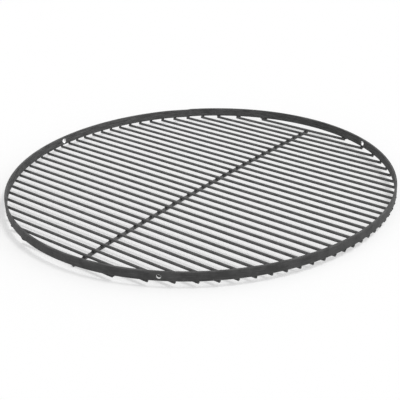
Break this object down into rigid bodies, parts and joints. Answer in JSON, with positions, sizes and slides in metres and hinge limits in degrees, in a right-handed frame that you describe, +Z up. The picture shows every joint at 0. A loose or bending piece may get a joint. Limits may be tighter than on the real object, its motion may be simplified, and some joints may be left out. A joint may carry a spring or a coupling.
{
  "type": "tripod grill grate",
  "caption": "Round hanging grill grate: flat-bar steel hoop, parallel rods welded under it, a cross brace and three hook holes in the rim.",
  "frame": {"origin": "on the hoop's axis, level with the underside of the brace bar, on which the grate rests when laid down", "axes": "+Z up along the hoop's axis, +X along the rods, +Y across them, about along the brace bar"},
  "size_m": [0.7012, 0.7, 0.0278],
  "materials": {
    "hoop_steel": "dark matt rolled steel flat bar with thin mill scale",
    "rod_steel": "dark drawn steel rod, matt to satin",
    "brace_steel": "dark drawn steel rod, matt to satin"
  },
  "bodies": {
    "root": {"ring_band": "hoop_steel", "grate_rod_01": "rod_steel", "grate_rod_02": "rod_steel", "grate_rod_03": "rod_steel", "grate_rod_04": "rod_steel", "grate_rod_05": "rod_steel", "grate_rod_06": "rod_steel", "grate_rod_07": "rod_steel", "grate_rod_08": "rod_steel", "grate_rod_09": "rod_steel", "grate_rod_10": "rod_steel", "grate_rod_11": "rod_steel", "grate_rod_12": "rod_steel", "grate_rod_13": "rod_steel", "grate_rod_14": "rod_steel", "grate_rod_15": "rod_steel", "grate_rod_16": "rod_steel", "grate_rod_17": "rod_steel", "grate_rod_18": "rod_steel", "grate_rod_19": "rod_steel", "grate_rod_20": "rod_steel", "grate_rod_21": "rod_steel", "grate_rod_22": "rod_steel", "grate_rod_23": "rod_steel", "grate_rod_24": "rod_steel", "grate_rod_25": "rod_steel", "grate_rod_26": "rod_steel", "grate_rod_27": "rod_steel", "grate_rod_28": "rod_steel", "grate_rod_29": "rod_steel", "grate_rod_30": "rod_steel", "grate_rod_31": "rod_steel", "grate_rod_32": "rod_steel", "grate_rod_33": "rod_steel", "brace_bar": "brace_steel"}
  },
  "joints": []
}
